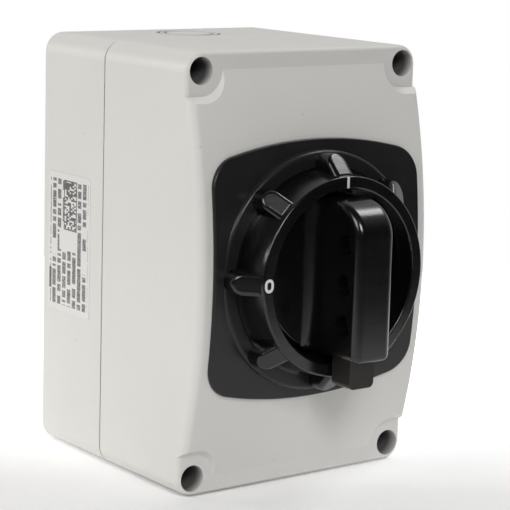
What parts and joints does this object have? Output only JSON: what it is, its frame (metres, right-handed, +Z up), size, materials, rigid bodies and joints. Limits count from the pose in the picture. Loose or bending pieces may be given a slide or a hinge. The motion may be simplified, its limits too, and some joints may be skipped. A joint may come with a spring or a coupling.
{
  "type": "rotary isolator switch",
  "caption": "Wall-mounted rotary isolator in a grey moulded enclosure, with a black padlockable grip handle that turns a quarter turn between on and off inside a lugged ring.",
  "frame": {"origin": "middle of the flat wall face of the enclosure base", "axes": "+Y into the wall, -Y towards the user, +X to the right seen from the front, +Z up"},
  "size_m": [0.0851, 0.1125, 0.13],
  "materials": {
    "enclosure_plastic": "light grey moulded ABS, fine satin texture",
    "seal_rubber": "soft black seal",
    "zinc_steel": "zinc-plated steel",
    "label_film": "white film label",
    "black_satin_plastic": "satin black moulding",
    "black_gloss_plastic": "semi-gloss black moulding",
    "mark_white": "white filled mark",
    "bush_nut_plastic": "glass-filled black nylon",
    "slide_plastic": "brownish black moulding",
    "spring_steel": "bright spring steel",
    "rotor_plastic": "red-brown thermoset",
    "switch_plastic": "dark grey thermoset",
    "contact_copper": "copper alloy, silver-faced",
    "earth_brass": "brass bar"
  },
  "bodies": {
    "enclosure": {"enclosure_base": "enclosure_plastic", "enclosure_cover": "enclosure_plastic", "cover_gasket": "seal_rubber", "cover_screws": "zinc_steel", "cover_screw_seals": "seal_rubber", "rating_label": "label_film", "faceplate": "black_satin_plastic", "faceplate_gasket": "seal_rubber", "indicator_ring": "black_gloss_plastic", "ring_screws": "zinc_steel", "position_marks": "mark_white", "operator_bush": "black_satin_plastic", "bush_nut": "bush_nut_plastic", "mechanism_housing": "switch_plastic", "mechanism_cap": "switch_plastic", "detent_spring_upper": "spring_steel", "detent_spring_lower": "spring_steel", "mounting_plate": "zinc_steel", "mounting_screws": "zinc_steel", "tie_screws": "zinc_steel", "terminal_clamps": "zinc_steel", "terminal_screws": "zinc_steel", "earth_terminal": "earth_brass", "earth_screws": "zinc_steel", "pole_1_housing": "switch_plastic", "pole_1_line_contact": "contact_copper", "pole_1_load_contact": "contact_copper", "pole_2_housing": "switch_plastic", "pole_2_line_contact": "contact_copper", "pole_2_load_contact": "contact_copper", "pole_3_housing": "switch_plastic", "pole_3_line_contact": "contact_copper", "pole_3_load_contact": "contact_copper", "pole_4_housing": "switch_plastic", "pole_4_line_contact": "contact_copper", "pole_4_load_contact": "contact_copper"},
    "handle": {"handle_grip": "black_gloss_plastic", "handle_hub": "black_gloss_plastic", "grip_screws": "zinc_steel", "slide_spring": "spring_steel", "shaft_seal": "seal_rubber", "hub_circlip": "spring_steel", "shaft_pin": "zinc_steel", "drive_shaft": "zinc_steel", "shaft_coupler": "rotor_plastic", "switch_shaft": "zinc_steel", "detent_wheel": "rotor_plastic", "pole_1_rotor": "rotor_plastic", "pole_1_bridge": "contact_copper", "pole_2_rotor": "rotor_plastic", "pole_2_bridge": "contact_copper", "pole_3_rotor": "rotor_plastic", "pole_3_bridge": "contact_copper", "pole_4_rotor": "rotor_plastic", "pole_4_bridge": "contact_copper"},
    "padlock_slide": {"padlock_slide": "slide_plastic"},
    "detent_plunger_upper": {"detent_plunger_upper": "rotor_plastic"},
    "detent_plunger_lower": {"detent_plunger_lower": "rotor_plastic"}
  },
  "joints": [
    {"name": "handle_turn", "type": "hinge", "parent": "enclosure", "child": "handle", "pos_m": [0, -0.0985, 0.0006], "axis": [0, -1, 0], "range_deg": [0, 90]},
    {"name": "padlock_slide_push", "type": "slide", "parent": "handle", "child": "padlock_slide", "axis": [0, 0, 1], "range_m": [0, 0.004], "stiffness_N_per_m": 600, "springref_m": -0.002, "deforming": ["slide_spring"]},
    {"name": "detent_upper", "type": "slide", "parent": "enclosure", "child": "detent_plunger_upper", "axis": [0, 0, 1], "range_m": [0, 0.0015], "stiffness_N_per_m": 1500, "springref_m": -0.001, "deforming": ["detent_spring_upper"]},
    {"name": "detent_lower", "type": "slide", "parent": "enclosure", "child": "detent_plunger_lower", "axis": [0, 0, -1], "range_m": [0, 0.0015], "stiffness_N_per_m": 1500, "springref_m": -0.001, "deforming": ["detent_spring_lower"]}
  ]
}
